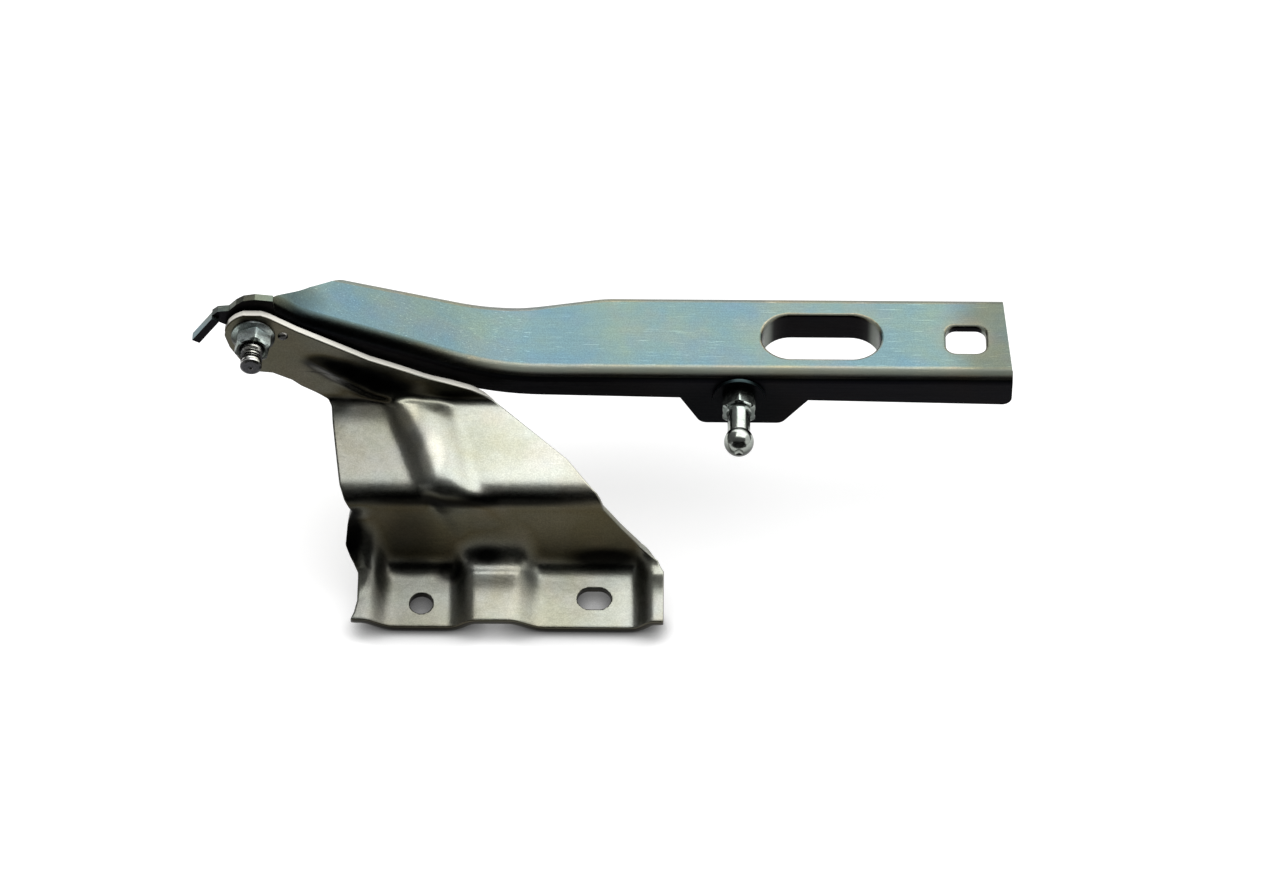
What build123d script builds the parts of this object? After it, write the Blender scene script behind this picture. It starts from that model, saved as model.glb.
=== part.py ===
from build123d import *
import os
from math import atan2, cos, radians, sin, sqrt, tan

# Hood hinge, right-hand pattern: a pressed body bracket, a pressed arm that
# swings on one bolt, and a ball stud for the gas strut. Millimetres.
# Drawn with the pivot axis on X=0, Z=0 along Y, the arm pointing to +X and
# the bracket's outer side facing -Y, then moved so that the round body hole
# is the origin.

# Sheet, shared by both pressings
sheet = 3.0

# Body bracket, side view: plate, shelf, wall and foot
fold_z = -33.0
shelf_depth = 38.8
shelf_fall = 8.2
wall_drop = 34.9
wall_lean = 4.9
foot_depth = 24.8
foot_tilt = 12.0
shelf_bend = 6.5
inner_bend = 3.0

# Body bracket, outline
eye_radius = 10.5
shelf_left = 28.4
shelf_right = 87.0
shelf_side = (114.5, 24.5)
shelf_front_right = 126.0
wall_left = 34.6
wall_right = 149.3

# Foot: two pads lie low, ridges stand beside and between them
ridge_height = 5.0
ridge_slope = 3.8
pad_one = (48.5, 71.0)
ridge_middle = (77.5, 97.0)
pad_two = (105.0, 140.5)

# Rib over the shelf and down the wall: left foot, crest, right foot
rib_height = 4.3
rib_at_fold = (43.5, 54.4, 63.5, 66.0)
rib_at_bend = (60.5, 70.5, 75.5, 78.0)
rib_at_foot = (76.5, 80.0, 95.0, 100.0)

# Dart on the plate that runs down into the rib, seen from the front
dart_tip = (18.5, -8.3)
dart_knee = (44.0, -26.5)
dart_end = (65.0, -27.0)
dart_height = 4.2
dart_tip_half = 0.3
dart_knee_above = 11.0
dart_knee_below = 4.0
dart_end_above = 2.0
dart_end_below = 6.0
dart_hollow_drop = 1.2

# How far a raised form reaches into the sheet behind it
sink = 1.0

# Body holes, as places along X and out from the wall's foot
body_hole = 8.6
body_hole_at = (61.1, 15.3)
body_slot = (12.5, 9.0)
body_slot_at = (124.4, 12.8)

# Arm
arm_gap = 1.0
arm_start = 7.5
arm_level = -22.0
straight_from = 105.0
arm_end = 277.4
arm_rear = 44.6
arm_neck = 31.7
arm_waist = 39.0
# the web's left end is cut back along a line from the ear to this place
end_cut = (20.0, 20.7)
flange_drop = 11.7
flange_gain = 3.6
arm_bend = 5.0
rear_bend = 4.0
rear_drop = 9.0
end_slant = 2.7
end_corner = 2.0
flange_corner = 3.5
lug_reach = (21.7, 26.4)
lug_foot = (14.0, 15.9)
lug_shoulder = -34.6
lug_below = 13.4
lug_corner = 4.0
seat_slot = (44.0, 22.2)
seat_slot_at = (207.3, 23.5)
collar_drop = 9.0
collar_wall = 1.6
square_hole = (14.8, 13.6)
square_hole_at = (260.6, 22.6)
square_corner = 4.0
rim_radius = 1.2

# Stop tab on the ear: its outer line, its end cut back on the inner side
tab_top = (-14.9, 6.5)
tab_tip = (-22.6, -4.6)
tab_thick = 3.0
tab_cut_back = 0.3
tab_front = 2.2
tab_back = 5.8

# Pivot: a shoulder bolt from behind, a thin washer and a flange nut
bolt_radius = 4.0
bolt_hole = 4.15
bolt_end = 16.2
shoulder_radius = 6.0
shoulder_spare = 0.3
running_fit = 0.05
bolt_head_radius = 9.5
bolt_head_height = 4.0
bolt_drive = 6.0
bolt_drive_depth = 2.5
washer_radius = 9.5
washer_thick = 0.7
nut_across = 12.0
nut_height = 6.0
nut_flange_radius = 8.0
nut_turn = -10.0
nut_flange = 1.5
nut_chamfer = 1.1
thread_chamfer = 0.8
head_chamfer = 1.5
rivet_radius = 1.5
rivet_head_radius = 2.2
rivet_head = 1.1
rivet_at = (10.8, 0.0)

# Ball stud, held by a peened tail behind the lug
stud_at = (177.0, -34.5)
stud_radius = 4.0
stud_hole = 4.15
stud_neck = 4.2
ball_radius = 5.5
ball_reach = 22.5
stud_hex_across = 12.0
stud_hex_height = 6.6
stud_washer_radius = 9.8
stud_washer = 1.5
stud_tail_radius = 6.0
stud_tail = 2.4
stud_tail_flat = 3.5
stud_collar = 4.6

arm_front = sheet + arm_gap
arm_inner = arm_front + sheet
tilt = radians(foot_tilt)
foot_along = Vector(0, -cos(tilt), -sin(tilt))
foot_up = Vector(0, -sin(tilt), cos(tilt))
shelf_edge = Vector(0, -shelf_depth, fold_z - shelf_fall)
wall_foot = shelf_edge + Vector(0, -wall_lean, -wall_drop)
wall_length = sqrt(wall_lean**2 + wall_drop**2)
wall_out = Vector(0, -wall_drop / wall_length, wall_lean / wall_length)
shelf_length = sqrt(shelf_depth**2 + shelf_fall**2)
shelf_up = Vector(0, -shelf_fall / shelf_length, shelf_depth / shelf_length)
foot_plane = Plane(origin=wall_foot, x_dir=(1, 0, 0), z_dir=foot_along)
pad_plane = Plane(origin=wall_foot, x_dir=(1, 0, 0), z_dir=foot_up)
front_view = Plane(origin=(0, 0, 0), x_dir=(1, 0, 0), z_dir=(0, -1, 0))
far = 200.0


def polygon(points):
    return make_face(Polyline(*points, close=True))


def through(plane, sketch):
    return extrude(plane * sketch, amount=far, both=True)


def front_slab(sketch, y_from, y_to):
    # a front-view shape given thickness from y_from to y_to
    plane = Plane(origin=(0, y_to, 0), x_dir=(1, 0, 0), z_dir=(0, -1, 0))
    return extrude(plane * sketch, amount=y_to - y_from)


def round_bend(strip, corner, radius):
    # round the one edge along X that passes through this corner of the side view
    edges = strip.edges().filter_by(Axis.X)
    nearest = edges.sort_by(lambda e: (Vector(0, e.center().Y, e.center().Z) - corner).length)[0]
    return fillet([nearest], radius)


def bracket_strip():
    # plate, shelf and wall as one bent strip, its thickness behind the outer face
    overrun = Vector(0, -wall_lean, -wall_drop) * (sheet / wall_drop)
    outer = [Vector(0, 0, eye_radius + 2), Vector(0, 0, fold_z), shelf_edge, wall_foot + overrun]
    line = Polyline(*[(p.Y, p.Z) for p in outer])
    section = make_face(offset(line, amount=sheet, side=Side.LEFT, kind=Kind.INTERSECTION))
    start = -eye_radius - 2
    side_view = Plane(origin=(start, 0, 0), x_dir=(0, 1, 0), z_dir=(1, 0, 0))
    strip = extrude(side_view * section, amount=wall_right - start)
    strip = round_bend(strip, Vector(0, 0, fold_z), inner_bend)
    strip = round_bend(strip, Vector(0, sheet, fold_z - sheet), inner_bend + sheet)
    strip = round_bend(strip, shelf_edge, shelf_bend)
    return round_bend(strip, shelf_edge + Vector(0, sheet, -sheet), shelf_bend - sheet)


def bracket_outline():
    # what the cutting tool leaves of the strip, seen from the front
    below = wall_foot.Z - 6 * sheet
    top_edge = [(6.0, 8.8), (16.0, 2.1), (42.0, -12.9), (62.0, -22.4), (shelf_right, fold_z)]
    right_edge = [
        (shelf_front_right, fold_z), (shelf_front_right, shelf_edge.Z - 1),
        (wall_right - 7.8, -66.5), (wall_right - 2.3, -71.0), (wall_right, -78.0), (wall_right, below),
    ]
    left_edge = [
        (wall_left, below), (wall_left + 2, -79.0), (wall_left - 2, -64.5), (wall_left + 0.5, -50.0),
        (shelf_left + 2.8, shelf_edge.Z), (shelf_left, fold_z - 2),
    ]
    under_edge = [(15.5, -25.6), (6.4, -19.0), (1.0, -19.5), (-3.8, -15.5), (-9.7, -2.0)]
    lever = polygon(top_edge + right_edge + left_edge + under_edge)
    return through(front_view, lever + Circle(eye_radius))


def shelf_corner():
    # the shelf's right edge runs out at an angle; this is what it loses
    side_x, side_y = shelf_side
    corner = [(shelf_right, 6), (shelf_right, 0), (side_x, -side_y), (shelf_front_right, -shelf_depth)]
    corner += [(far, -shelf_depth), (far, 6)]
    return Pos(0, 0, fold_z) * extrude(polygon(corner), amount=-shelf_fall - 5)


def foot_profile():
    # outer face of the foot across its width: low pads, high ridges
    top = ridge_height
    return [
        (wall_left + 0.8, top), (pad_one[0] - ridge_slope, top), (pad_one[0], 0),
        (pad_one[1], 0), (ridge_middle[0], top), (ridge_middle[1], top),
        (pad_two[0], 0), (pad_two[1], 0), (pad_two[1] + ridge_slope, top), (wall_right, top),
    ]


def foot():
    line = Polyline(*foot_profile())
    section = make_face(offset(line, amount=sheet, side=Side.RIGHT, kind=Kind.INTERSECTION))
    return extrude(foot_plane * section, amount=foot_depth)


def under_foot():
    # everything below the foot's mid line, so that the wall ends on it
    low = -3 * sheet
    margin = 5
    middle = [(x, y - sheet / 2) for x, y in foot_profile()]
    left = middle[0][0] - margin
    right = middle[-1][0] + margin
    points = [(left, low), (left, middle[0][1])] + middle[1:-1] + [(right, middle[-1][1]), (right, low)]
    behind = 4 * sheet
    return extrude(foot_plane.offset(-behind) * polygon(points), amount=behind + foot_depth + 1)


def rib_face(at, origin, up, height, floor, inset=0.0):
    # four corners of the rib's cross-section at one station
    left, crest_left, crest_right, right = at
    left_run = (crest_left - left) / rib_height
    right_run = (right - crest_right) / rib_height
    left_in = inset * tan(atan2(1, left_run) / 2)
    right_in = inset * tan(atan2(1, right_run) / 2)
    fall = height - floor
    corners = [
        (crest_left + left_in - left_run * fall, floor), (crest_left + left_in, height),
        (crest_right - right_in, height), (crest_right - right_in + right_run * fall, floor),
    ]
    points = [origin + Vector(x, 0, 0) + up * level for x, level in corners]
    return make_face(Polyline(*points, close=True))


def rib_run(back, height, floor, inset=0.0):
    # from the plate to the bend, then down the wall
    mitre = (shelf_up + wall_out) * (1 / (1 + shelf_up.dot(wall_out)))
    start = Vector(0, back, fold_z + back * shelf_fall / shelf_depth)
    stations = [
        rib_face(rib_at_fold, start, Vector(0, 0, 1), height, floor, inset),
        rib_face(rib_at_bend, shelf_edge, mitre, height, floor, inset),
        rib_face(rib_at_foot, wall_foot, wall_out, height, floor, inset),
    ]
    return loft(stations[:2], ruled=True) + loft(stations[1:], ruled=True)


def dart_face(x, top, crest, low, rise, back):
    points = [(x, back, top), (x, back - rise, crest), (x, back, low)]
    return make_face(Polyline(*points, close=True))


def plate_dart(back, grow=0.0):
    # a three-sided dart, widest where it meets the rib
    tip_x, tip_z = dart_tip
    knee_x, knee_z = dart_knee
    end_x, end_z = dart_end
    half = dart_tip_half
    top = knee_z + dart_knee_above
    low = knee_z - dart_knee_below
    end_top = end_z + dart_end_above
    end_low = end_z - dart_end_below
    tip = dart_face(tip_x, tip_z + half, tip_z, tip_z - half, half, back)
    knee = dart_face(knee_x, top, knee_z, low, dart_height + grow, back)
    end = dart_face(end_x, end_top, end_z - sink, end_low, dart_height / 3 + grow, back)
    return loft([tip, knee], ruled=True) + loft([knee, end], ruled=True)


def body_bracket():
    body = bracket_strip() & bracket_outline()
    body -= shelf_corner()
    body += rib_run(sheet - sink, rib_height, -sink)
    body -= rib_run(sheet + sink / 2, rib_height - sheet, -sheet - 2 * sink, sheet)
    body += plate_dart(sink / 2, sink / 2)
    body -= Pos(0, 0, -dart_hollow_drop) * plate_dart(sheet + sink / 5)
    body -= under_foot()
    body += foot()
    hole_x, hole_out = body_hole_at
    slot_x, slot_out = body_slot_at
    hole = pad_plane * Pos(hole_x, -hole_out) * Circle(body_hole / 2)
    slot = pad_plane * Pos(slot_x, -slot_out) * SlotOverall(*body_slot)
    body -= extrude(hole, amount=2 * sheet, both=True)
    body -= extrude(slot, amount=2 * sheet, both=True)
    body -= front_slab(Circle(bolt_hole), -sheet, 2 * sheet)
    body -= front_slab(Pos(*rivet_at) * Circle(rivet_radius), -sheet, 2 * sheet)
    return body


def arm_path():
    # top line of the arm, seen from the front
    return FilletPolyline((4.5, 16.0), (18, 5.5), (89, arm_level), (arm_end, arm_level), radius=(28, 90))


def arm_band(thick):
    section = make_face(offset(arm_path(), amount=thick, side=Side.RIGHT, kind=Kind.INTERSECTION))
    return through(front_view, section)


def arm_plan(inset=0.0):
    # the arm from above; inset moves the rear edge forward
    rear = [(33.5, arm_neck), (96.0, arm_waist), (127.0, arm_rear), (arm_end - end_slant, arm_rear)]
    rear = [(x, y - inset) for x, y in rear]
    start, first, second, finish = rear
    edge = FilletPolyline(start, first, second, finish, radius=(40, 40))
    past_bend = arm_front + arm_bend + sheet / 2
    corners = [finish, (arm_end, arm_front), (arm_start, arm_front), (arm_start, past_bend), start]
    return make_face(edge + Polyline(*corners))


def corner_waste(face, corner, radius):
    # the sliver that rounding one corner takes off a flat shape
    at_corner = face.vertices().sort_by(lambda v: (Vector(v.X, v.Y) - Vector(*corner)).length)[0]
    return face - fillet([at_corner], radius)


def lies_at(edge, depth):
    # whether an edge runs along the arm at this depth under its top line
    points = [edge.position_at(share) for share in (0.02, 0.5, 0.98)]
    runs = abs(points[0].X - points[2].X) > 0.5 and abs(points[0].Y - points[2].Y) < 8
    path = arm_path()
    return runs and all(abs(path.distance_to(Vertex(p.X, p.Z, 0)) - depth) < 0.02 for p in points)


def arm_edges(shape, depth, y_from, y_to):
    edges = [e for e in shape.edges() if y_from <= e.center().Y <= y_to]
    return [e for e in edges if lies_at(e, depth)]


def flange_wedge():
    # the front flange deepens towards the arm's end
    top = arm_level - flange_drop / 2
    low = arm_level - flange_drop
    return polygon([(straight_from, top), (straight_from, low), (arm_end, low - flange_gain), (arm_end, top)])


def web_end():
    # what the cutting tool takes off the web beside the ear
    x, y = end_cut
    steep = (y - arm_inner) / (x - arm_start)
    return polygon([(arm_start - 1, arm_inner - steep), (x, y), (arm_start - 1, y)])


def arm_shell():
    # web with a flange turned down along the front and the rear
    plan = through(Plane.XY, arm_plan())
    inner_plan = through(Plane.XY, arm_plan(sheet))
    ends = Pos(arm_end / 2 + 20, 0, 0) * Box(arm_end, far, far)
    length = arm_end - arm_start
    face = front_slab(Pos(arm_start + length / 2, 0) * Rectangle(length, far), arm_front, arm_inner)
    shell = plan & arm_band(sheet)
    shell += (plan - inner_plan) & arm_band(rear_drop) & ends
    shell += face & arm_band(flange_drop)
    shell = fillet(arm_edges(shell, 0, arm_front - 0.1, arm_front + 0.1), arm_bend)
    shell = fillet(arm_edges(shell, 0, arm_neck, arm_rear + 1), rear_bend)
    shell = fillet(arm_edges(shell, sheet, arm_inner - 0.1, arm_inner + 0.1), arm_bend - sheet)
    shell = fillet(arm_edges(shell, sheet, arm_neck - sheet, arm_rear), rear_bend - sheet)
    shell += front_slab(flange_wedge(), arm_front, arm_inner)
    shell -= through(Plane.XY, web_end())
    shell -= through(Plane.XY, corner_waste(arm_plan(), (arm_end - end_slant, arm_rear), end_corner))
    low = arm_level - flange_drop - flange_gain
    return shell - through(front_view, corner_waste(flange_wedge(), (arm_end, low), flange_corner))


def stop_tab():
    # a finger of the ear, set forward so that it meets the bracket's edge
    top = Vector(*tab_top)
    tip = Vector(*tab_tip)
    run = tip - top
    across = Vector(-run.Y, run.X) * (tab_thick / run.length)
    inner_tip = tip + across - run * (tab_cut_back / run.length)
    corners = [top, tip, inner_tip, top + across]
    return front_slab(polygon([(c.X, c.Y) for c in corners]), tab_front, tab_back)


def arm_ear():
    outline = [
        tab_top, (-12.8, 8.4), (-8.7, 8.9), (-5.9, 12.0), (-3.2, 13.9), (1.0, 14.7), (arm_start, 13.9),
        (arm_start + 0.6, 7.5), (arm_start + 8, 2.0), (arm_start + 8, -5.5),
        (0.0, -9.5), (-6.5, -7.0), (-8.3, 0.8), (-12.6, 3.2),
    ]
    return front_slab(polygon(outline), arm_front, arm_inner)


def arm_lug():
    x, z = stud_at
    left, right = x - lug_reach[0], x + lug_reach[1]
    top = arm_level - flange_drop / 2
    bottom = z - lug_below
    points = [(left, top), (left, lug_shoulder), (x - lug_foot[0], bottom)]
    points += [(x + lug_foot[1], bottom), (right, lug_shoulder), (right, top)]
    face = polygon(points)
    low = face.vertices().sort_by(Axis.Y)[:2]
    return front_slab(fillet(low, lug_corner), arm_front, arm_inner)


def rim_edges(shape, place, length, width):
    # the upper edges of an opening in the web
    picked = []
    for edge in shape.edges():
        offset_x = abs(edge.center().X - place[0])
        offset_y = abs(edge.center().Y - place[1])
        on_top = abs(edge.center().Z - arm_level) < 0.01
        if on_top and offset_x < length / 2 + 0.1 and offset_y < width / 2 + 0.1:
            picked.append(edge)
    return picked


def hinge_arm():
    arm = arm_shell()
    arm += arm_ear()
    arm += stop_tab()
    arm += arm_lug()
    slot = Pos(*seat_slot_at) * SlotOverall(*seat_slot)
    length, width = seat_slot
    collar = Pos(*seat_slot_at) * SlotOverall(length + 2 * collar_wall, width + 2 * collar_wall)
    under = Pos(0, 0, arm_level - sheet - collar_drop)
    arm += under * extrude(collar, amount=collar_drop + sheet / 2)
    arm -= under * extrude(slot, amount=40, both=True)
    window = Pos(*square_hole_at) * RectangleRounded(*square_hole, square_corner)
    arm -= Pos(0, 0, arm_level) * extrude(window, amount=10, both=True)
    for place, (length, width) in ((seat_slot_at, seat_slot), (square_hole_at, square_hole)):
        arm = fillet(rim_edges(arm, place, length, width), rim_radius)
    arm -= front_slab(Circle(shoulder_radius + running_fit), -5, 15)
    arm -= front_slab(Pos(*stud_at) * Circle(stud_hole), -5, 15)
    return arm


def turned(points):
    # a turned piece on the pivot axis: radius against distance along +Y
    face = make_face(Polyline(*points, close=True))
    plane = Plane(origin=(0, 0, 0), x_dir=(1, 0, 0), z_dir=(0, 0, 1))
    return revolve(plane * face, axis=Axis.Y)


def hexagon_bar(across, y_from, y_to):
    return front_slab(RegularPolygon(across / 2, 6, major_radius=False), y_from, y_to)


def pivot_bolt():
    head_y = arm_inner + shoulder_spare
    thread_end = -bolt_end
    top = head_y + bolt_head_height
    bolt = turned([
        (0, thread_end), (bolt_radius - thread_chamfer, thread_end),
        (bolt_radius, thread_end + thread_chamfer), (bolt_radius, sheet),
        (shoulder_radius, sheet), (shoulder_radius, head_y),
        (bolt_head_radius, head_y), (bolt_head_radius, top - head_chamfer),
        (bolt_head_radius - head_chamfer, top), (0, top),
    ])
    bolt -= hexagon_bar(bolt_drive, top - bolt_drive_depth, top + 1)
    return bolt


def pivot_washer():
    inner = shoulder_radius + running_fit
    back = sheet + washer_thick
    return turned([(inner, sheet), (washer_radius, sheet), (washer_radius, back), (inner, back)])


def pivot_nut():
    nut = Rotation(0, nut_turn, 0) * hexagon_bar(nut_across, -nut_flange - nut_height, -nut_flange / 2)
    corner = nut_across / 2 / cos(radians(30))
    front = -nut_flange - nut_height
    wide = corner + nut_chamfer / 2
    shoulder = front + nut_chamfer
    nut &= turned([(0, front), (corner - nut_chamfer, front), (wide, shoulder), (wide, 0), (0, 0)])
    nut += turned([
        (0, -nut_flange), (corner, -nut_flange), (nut_flange_radius, -nut_flange / 2),
        (nut_flange_radius, 0), (0, 0),
    ])
    return nut - front_slab(Circle(bolt_radius + running_fit), front - 1, 1)


def plate_rivet():
    rivet = turned([
        (0, -rivet_head), (rivet_head_radius - 0.7, -rivet_head), (rivet_head_radius, -rivet_head / 2),
        (rivet_head_radius, 0), (rivet_radius, 0), (rivet_radius, sheet), (0, sheet),
    ])
    return Pos(rivet_at[0], 0, rivet_at[1]) * rivet


def ball_stud():
    seat = arm_front - stud_washer
    hex_front = seat - stud_hex_height
    ball_y = arm_front - ball_reach
    neck_end = ball_y + sqrt(ball_radius**2 - stud_neck**2) - 0.2
    in_hex = seat - stud_hex_height / 4
    tail_end = arm_inner + stud_tail
    stud = turned([
        (0, ball_y), (stud_neck, ball_y), (stud_neck, neck_end), (stud_collar, hex_front),
        (stud_collar, in_hex), (stud_radius, in_hex), (stud_radius, arm_inner),
        (stud_tail_radius, arm_inner),
        (stud_tail_radius, arm_inner + stud_tail / 2), (stud_tail_flat, tail_end), (0, tail_end),
    ])
    stud += Pos(0, ball_y, 0) * Sphere(ball_radius)
    stud += Rotation(0, 30, 0) * hexagon_bar(stud_hex_across, hex_front, seat)
    return Pos(stud_at[0], 0, stud_at[1]) * stud


def ball_stud_washer():
    inner = stud_radius + 2 * running_fit
    seat = arm_front - stud_washer
    outer = stud_washer_radius
    washer = turned([(inner, seat), (outer, seat), (outer, arm_front), (inner, arm_front)])
    return Pos(stud_at[0], 0, stud_at[1]) * washer


nodes = {
    "body_bracket": body_bracket,
    "hinge_arm": hinge_arm,
    "pivot_bolt": pivot_bolt,
    "pivot_washer": pivot_washer,
    "pivot_nut": pivot_nut,
    "plate_rivet": plate_rivet,
    "ball_stud": ball_stud,
    "ball_stud_washer": ball_stud_washer,
}
origin = Vector(body_hole_at[0], wall_foot.Y, wall_foot.Z) + foot_along * body_hole_at[1]

os.makedirs("parts", exist_ok=True)
for name, make in nodes.items():
    piece = make()
    print(name, piece.is_valid, round(piece.volume), len(piece.solids()), piece.bounding_box())
    export_step(Pos(-origin.X, -origin.Y, -origin.Z) * piece, f"parts/{name}.step")
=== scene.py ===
import bmesh
import bpy
import numpy as np
from math import cos, pi, radians, sin
from mathutils import Matrix, Vector


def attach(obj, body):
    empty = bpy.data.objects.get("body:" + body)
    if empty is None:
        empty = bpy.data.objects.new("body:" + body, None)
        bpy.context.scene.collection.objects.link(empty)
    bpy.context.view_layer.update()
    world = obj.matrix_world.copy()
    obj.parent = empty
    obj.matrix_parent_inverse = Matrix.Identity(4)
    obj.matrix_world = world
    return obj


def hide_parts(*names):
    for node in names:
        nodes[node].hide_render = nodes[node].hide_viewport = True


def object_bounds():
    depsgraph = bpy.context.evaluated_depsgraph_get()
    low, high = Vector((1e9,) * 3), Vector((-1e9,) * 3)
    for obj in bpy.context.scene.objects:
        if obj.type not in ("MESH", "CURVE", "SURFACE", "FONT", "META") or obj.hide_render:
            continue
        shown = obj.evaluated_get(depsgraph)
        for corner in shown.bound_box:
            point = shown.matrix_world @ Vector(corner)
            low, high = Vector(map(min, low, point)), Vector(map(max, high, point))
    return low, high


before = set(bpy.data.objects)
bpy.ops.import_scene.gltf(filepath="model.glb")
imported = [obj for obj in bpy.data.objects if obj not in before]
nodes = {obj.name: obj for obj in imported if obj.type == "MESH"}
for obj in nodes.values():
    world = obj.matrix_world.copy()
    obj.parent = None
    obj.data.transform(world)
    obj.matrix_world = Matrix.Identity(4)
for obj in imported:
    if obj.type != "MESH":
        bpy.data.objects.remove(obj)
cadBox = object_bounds()
millimetre = 0.001
pivotInFrame = Vector((-61.1, 58.6657, 79.281))  # pivot centre in the part's frame, mm
axisX, axisY, axisZ = Vector((1, 0, 0)), Vector((0, 1, 0)), Vector((0, 0, 1))


def fromPivot(x, y, z):
    # a place measured from the pivot in mm, as a place in the part's frame in metres
    return (Vector((x, y, z)) + pivotInFrame) * millimetre


def grey(tone):
    return (tone,) * 3


class Wiring:
    # short names for adding shader nodes and joining them
    def __init__(self, tree):
        self.tree = tree

    def add(self, kind, **settings):
        node = self.tree.nodes.new("ShaderNode" + kind)
        for key, value in settings.items():
            setattr(node, key, value)
        return node

    def join(self, source, target):
        self.tree.links.new(source, target)

    def noise(self, place, size, detail, rough, stretch=None):
        if stretch:
            mapping = self.add("Mapping")
            mapping.inputs["Scale"].default_value = stretch
            self.join(place, mapping.inputs["Vector"])
            place = mapping.outputs[0]
        node = self.add("TexNoise")
        node.inputs["Scale"].default_value = size
        node.inputs["Detail"].default_value = detail
        node.inputs["Roughness"].default_value = rough
        self.join(place, node.inputs["Vector"])
        return node.outputs["Fac"]

    def ramp(self, value, low, high, toLow=0.0, toHigh=1.0, straight=False):
        node = self.add("MapRange", interpolation_type="LINEAR" if straight else "SMOOTHSTEP")
        for key, number in (("From Min", low), ("From Max", high), ("To Min", toLow), ("To Max", toHigh)):
            node.inputs[key].default_value = number
        self.join(value, node.inputs["Value"])
        return node.outputs["Result"]

    def tintTable(self, value, stops):
        node = self.add("ValToRGB")
        marks = node.color_ramp.elements
        while len(marks) < len(stops):
            marks.new(0.5)
        for mark, (at, tint) in zip(marks, stops):
            mark.position = at
            mark.color = (*tint, 1)
        self.join(value, node.inputs[0])
        return node.outputs["Color"]

    def math(self, operation, first, second):
        node = self.add("Math", operation=operation)
        for slot, item in enumerate((first, second)):
            if isinstance(item, (int, float)):
                node.inputs[slot].default_value = item
            else:
                self.join(item, node.inputs[slot])
        return node.outputs[0]

    def mix(self, amount, first, second, blend="MIX"):
        node = self.add("Mix", data_type="RGBA", blend_type=blend)
        for socket, item in (("Factor", amount), ("A", first), ("B", second)):
            kind = "VALUE" if socket == "Factor" else "RGBA"
            target = next(s for s in node.inputs if s.name == socket and s.type == kind)
            if isinstance(item, (int, float)):
                target.default_value = item
            elif isinstance(item, tuple):
                target.default_value = (*item, 1)
            else:
                self.join(item, target)
        return next(s for s in node.outputs if s.type == "RGBA")


# Camera, turned a little about its own axis as in the photo
cameraValues = {
    "turn": -0.5, "height": 46.55, "roll": 0.05, "distance": 2.2, "lens": 168.6, "sensor": 36,
    "aim": (140.8, -13.7, -42.7),
}


def makeCamera(values):
    turn, height, roll = (radians(values[k]) for k in ("turn", "height", "roll"))
    forward = Vector((sin(turn) * cos(height), cos(turn) * cos(height), -sin(height)))
    right = Vector((cos(turn), -sin(turn), 0))
    up = right.cross(forward)
    rolledRight = right * cos(roll) + up * sin(roll)
    rolledUp = up * cos(roll) - right * sin(roll)
    data = bpy.data.cameras.new("photoCamera")
    data.lens = values["lens"]
    data.sensor_width = values["sensor"]
    camera = bpy.data.objects.new("photoCamera", data)
    aim = fromPivot(*values["aim"])
    matrix = Matrix((rolledRight, rolledUp, -forward)).transposed().to_4x4()
    matrix.translation = aim - forward * values["distance"]
    camera.matrix_world = matrix
    bpy.context.scene.collection.objects.link(camera)
    bpy.context.scene.camera = camera
    return aim


aim = makeCamera(cameraValues)
print("camera placed")


# Light: pale room, one softbox above the back, dark cards that the metal mirrors; sizes in metres
lightValues = {
    "roomDiffuse": 0.55,
    "back": {"power": 17.0, "size": (2.6, 1.5), "distance": 1.3, "height": 60.0, "aside": 0.1},
    "floorTone": 0.8, "floorLift": 0.45, "floorGap": 0.0006, "floorSize": (6, 6),
    # how near the part the floor gets painted shade, and how steeply
    "floorShadeReach": 0.008, "floorShadeSteep": 2.0,
    # name, direction from the part, distance, size, tone
    "cards": [
        ("frontCard", (0.0, -0.906, 0.423), 1.25, (3.0, 1.2), 0.012),
        ("upperCard", (0.0, -0.39, 0.92), 1.25, (3.0, 0.78), 0.14),
        ("lowCard", (0.0, -1.0, 0.12), 0.42, (1.3, 0.36), 0.02),
        ("leftCard", (-0.82, 0.22, 0.52), 0.9, (1.5, 1.4), 0.17),
    ],
}


def makeLamp(name, values):
    height = radians(values["height"])
    direction = Vector((values["aside"], cos(height), sin(height)))
    data = bpy.data.lights.new(name, "AREA")
    data.shape = "RECTANGLE"
    data.size, data.size_y = values["size"]
    data.energy = values["power"]
    lamp = bpy.data.objects.new(name, data)
    lamp.location = aim + direction.normalized() * values["distance"]
    lamp.rotation_euler = direction.to_track_quat("Z", "Y").to_euler()
    bpy.context.scene.collection.objects.link(lamp)


def makeRoom(diffuseShare):
    # full white to the camera, in mirrors and through glass, less as a light
    world = bpy.data.worlds.new("paleRoom")
    bpy.context.scene.world = world
    world.use_nodes = True
    w = Wiring(world.node_tree)
    background = w.tree.nodes["Background"]
    path = w.add("LightPath")
    seen = w.math("MAXIMUM", path.outputs["Is Camera Ray"], path.outputs["Is Glossy Ray"])
    seen = w.math("MAXIMUM", seen, path.outputs["Is Transmission Ray"])
    w.join(w.ramp(seen, 0.0, 1.0, diffuseShare, 1.0, straight=True), background.inputs["Strength"])
    background.inputs["Color"].default_value = (1, 1, 1, 1)


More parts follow.
